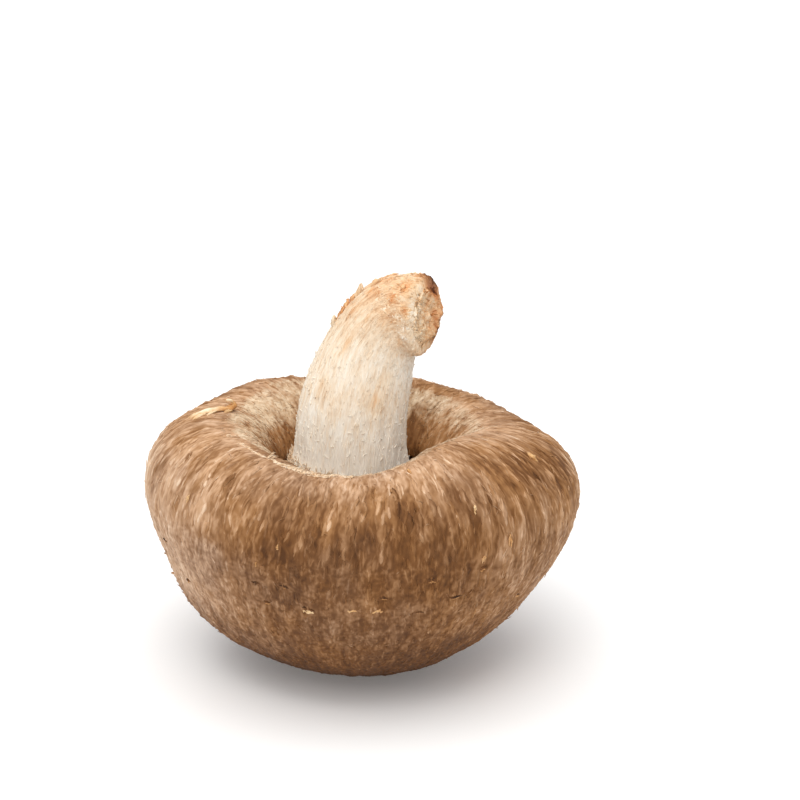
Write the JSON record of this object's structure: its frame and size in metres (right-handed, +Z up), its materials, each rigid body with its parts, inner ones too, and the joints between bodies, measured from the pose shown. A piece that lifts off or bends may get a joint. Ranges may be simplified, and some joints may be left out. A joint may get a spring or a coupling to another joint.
{
  "type": "shiitake mushroom",
  "caption": "Fresh shiitake mushroom standing on its domed cap, with an inrolled margin, gills in the hollow and a thick stem that bends to a rough cut.",
  "frame": {"origin": "centre of the small flat spot on the cap's crown, where the mushroom rests", "axes": "+Z up through the cap towards the stem's tip, +X the way the stem bends"},
  "size_m": [0.0649, 0.063, 0.06],
  "materials": {
    "cap": "matte fibrous brown skin with paler streaks",
    "gills": "matte cream",
    "stem": "matte fibrous cream white"
  },
  "bodies": {
    "root": {"cap": "cap", "gills": "gills", "stem": "stem"}
  },
  "joints": []
}
